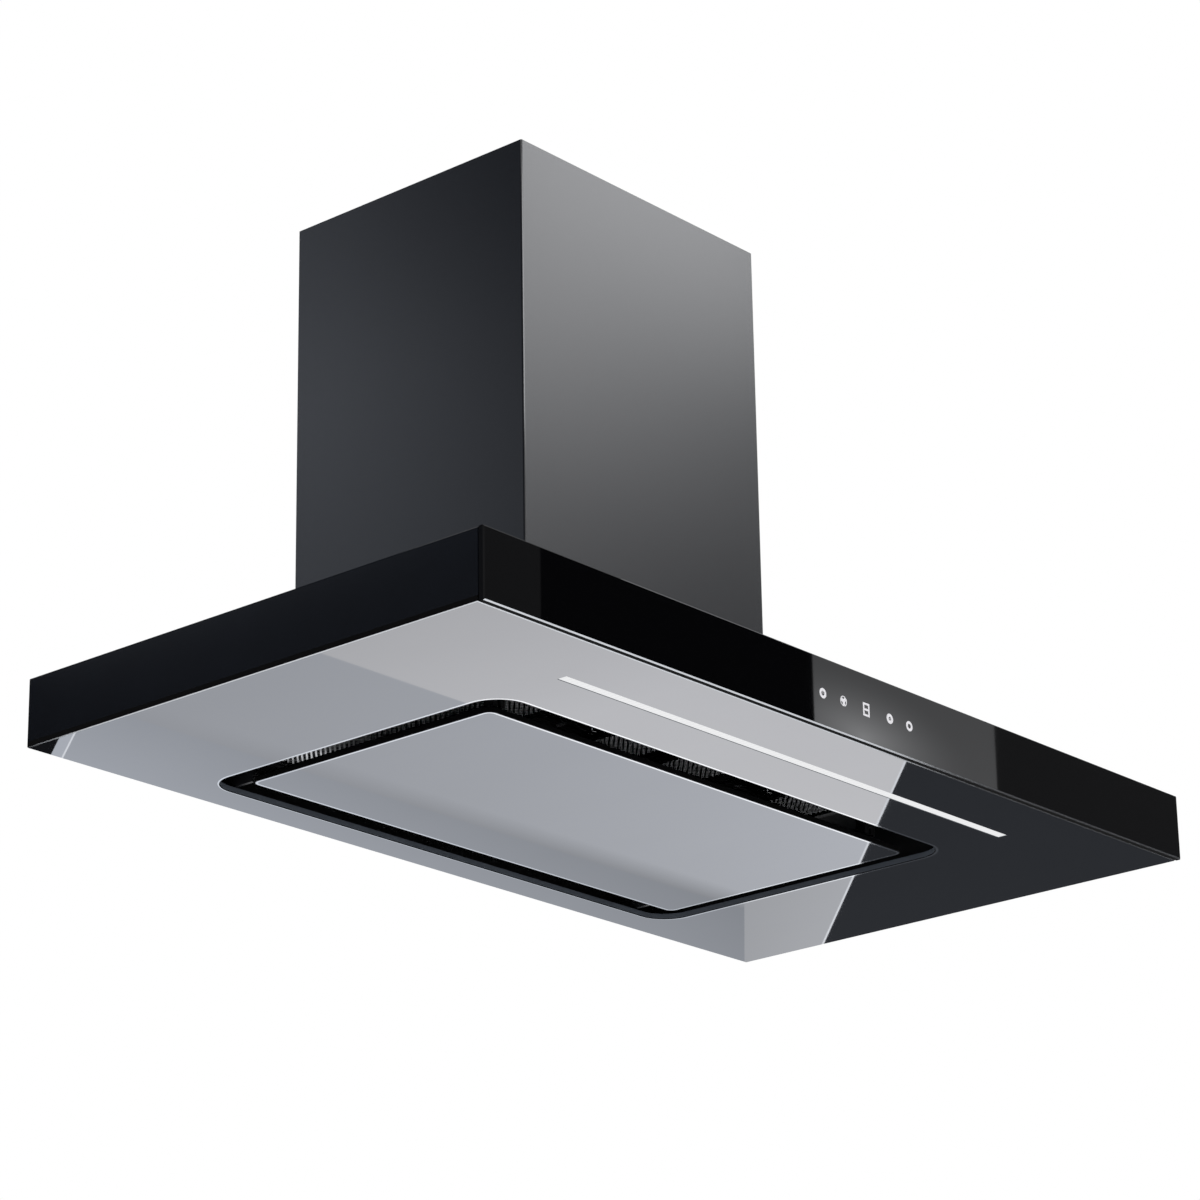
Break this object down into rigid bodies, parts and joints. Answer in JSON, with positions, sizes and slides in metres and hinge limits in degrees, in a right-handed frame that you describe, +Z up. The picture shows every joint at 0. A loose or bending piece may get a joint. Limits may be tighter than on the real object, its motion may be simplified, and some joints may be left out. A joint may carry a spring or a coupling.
{
  "type": "wall-mounted chimney range hood",
  "caption": "Slim black glass canopy with a hinged panel over perimeter suction slots, a lamp strip, touch controls and a telescoping chimney cover.",
  "frame": {"origin": "centre of the wall-screw pattern, on the rear plane that meets the wall", "axes": "+X to the right seen from the front, +Y back into the wall, +Z up; the front faces -Y"},
  "size_m": [0.9, 0.49, 0.554],
  "materials": {
    "black_shell": "satin black powder coat",
    "black_glass": "back-printed black tempered glass, polished",
    "mirror_glass": "black tempered glass with a dark mirror face",
    "foam_tape": "black acrylic foam tape",
    "lamp_diffuser": "opal white diffuser, lit",
    "lamp_housing": "extruded aluminium",
    "circuit_board": "green circuit board",
    "light_guide": "clear light guide",
    "display": "dark display block",
    "black_plastic": "fine-grained black plastic",
    "black_tray": "satin black painted sheet",
    "filter_frame": "black painted filter frame",
    "filter_mesh": "expanded aluminium mesh",
    "chrome": "polished chrome plating",
    "spring_steel": "bright zinc-plated steel",
    "panel_steel": "brushed stainless sheet",
    "rubber_seal": "black foam rubber gasket",
    "galvanised": "galvanised sheet steel",
    "fan_wheel": "pressed aluminium wheel",
    "motor_shell": "black painted motor shell",
    "grey_plastic": "moulded dark grey plastic",
    "flap_plastic": "thin moulded flap",
    "capacitor": "moulded capacitor can",
    "driver_case": "white potted driver case",
    "terminal_plastic": "natural terminal plastic",
    "chimney_paint": "dark graphite satin finish on steel"
  },
  "bodies": {
    "hood": {"canopy_shell": "black_shell", "canopy_rear_wall": "black_shell", "front_glass": "black_glass", "underside_glass": "mirror_glass", "front_glass_tape": "foam_tape", "lamp_diffuser": "lamp_diffuser", "lamp_housing": "lamp_housing", "lamp_board": "circuit_board", "touch_light_guide": "light_guide", "display_module": "display", "touch_frame": "black_plastic", "touch_board": "circuit_board", "suction_tray": "black_tray", "filter_divider": "black_tray", "filter_rails": "black_tray", "filter_frame_left": "filter_frame", "filter_frame_right": "filter_frame", "filter_mesh_left": "filter_mesh", "filter_mesh_right": "filter_mesh", "filter_handles": "black_plastic", "latch_spring_left": "spring_steel", "latch_spring_right": "spring_steel", "hinge_hangers": "panel_steel", "hinge_pins": "spring_steel", "panel_catches": "black_plastic", "blower_seal": "rubber_seal", "blower_box": "galvanised", "wall_bracket": "galvanised", "sheet_screws": "spring_steel", "scroll_wall": "galvanised", "scroll_front_plate": "galvanised", "scroll_rear_plate": "galvanised", "inlet_rings": "galvanised", "motor": "motor_shell", "motor_spider": "galvanised", "outlet_adaptor": "grey_plastic", "duct_collar": "grey_plastic", "flap_pins": "spring_steel", "electronics_case": "black_plastic", "electronics_cover": "black_plastic", "power_board": "circuit_board", "motor_capacitor": "capacitor", "lamp_driver": "driver_case", "terminal_block": "terminal_plastic", "cable_gland": "black_plastic", "chimney_lower": "chimney_paint"},
    "upper_chimney": {"chimney_upper": "chimney_paint", "chimney_wall_bracket": "galvanised"},
    "centre_panel": {"panel_glass": "mirror_glass", "panel_tray": "panel_steel", "panel_hinge_lugs": "panel_steel", "panel_strikers": "spring_steel"},
    "fan": {"fan_wheel": "fan_wheel", "motor_shaft": "spring_steel", "wheel_nut": "spring_steel"},
    "left_check_flap": {"check_flap_left": "flap_plastic"},
    "right_check_flap": {"check_flap_right": "flap_plastic"},
    "left_filter_latch": {"filter_latch_left": "chrome"},
    "right_filter_latch": {"filter_latch_right": "chrome"}
  },
  "joints": [
    {"name": "chimney_slide", "type": "slide", "parent": "hood", "child": "upper_chimney", "axis": [0, 0, 1], "range_m": [0, 0.38]},
    {"name": "panel_hinge", "type": "hinge", "parent": "hood", "child": "centre_panel", "pos_m": [0, -0.056, -0.181], "axis": [1, 0, 0], "range_deg": [0, 90]},
    {"name": "fan_spin", "type": "hinge", "parent": "hood", "child": "fan", "pos_m": [-0.028, -0.125, -0.008], "axis": [0, -1, 0], "continuous": true},
    {"name": "left_flap_hinge", "type": "hinge", "parent": "hood", "child": "left_check_flap", "pos_m": [-0.004, -0.125, 0.199], "axis": [0, 1, 0], "range_deg": [0, 75]},
    {"name": "right_flap_hinge", "type": "hinge", "parent": "hood", "child": "right_check_flap", "pos_m": [0.004, -0.125, 0.199], "axis": [0, -1, 0], "range_deg": [0, 75]},
    {"name": "left_latch_slide", "type": "slide", "parent": "hood", "child": "left_filter_latch", "axis": [0, 1, 0], "range_m": [0, 0.006], "stiffness_N_per_m": 400, "springref_m": -0.004, "deforming": ["latch_spring_left"]},
    {"name": "right_latch_slide", "type": "slide", "parent": "hood", "child": "right_filter_latch", "axis": [0, 1, 0], "range_m": [0, 0.006], "stiffness_N_per_m": 400, "springref_m": -0.004, "deforming": ["latch_spring_right"]}
  ]
}
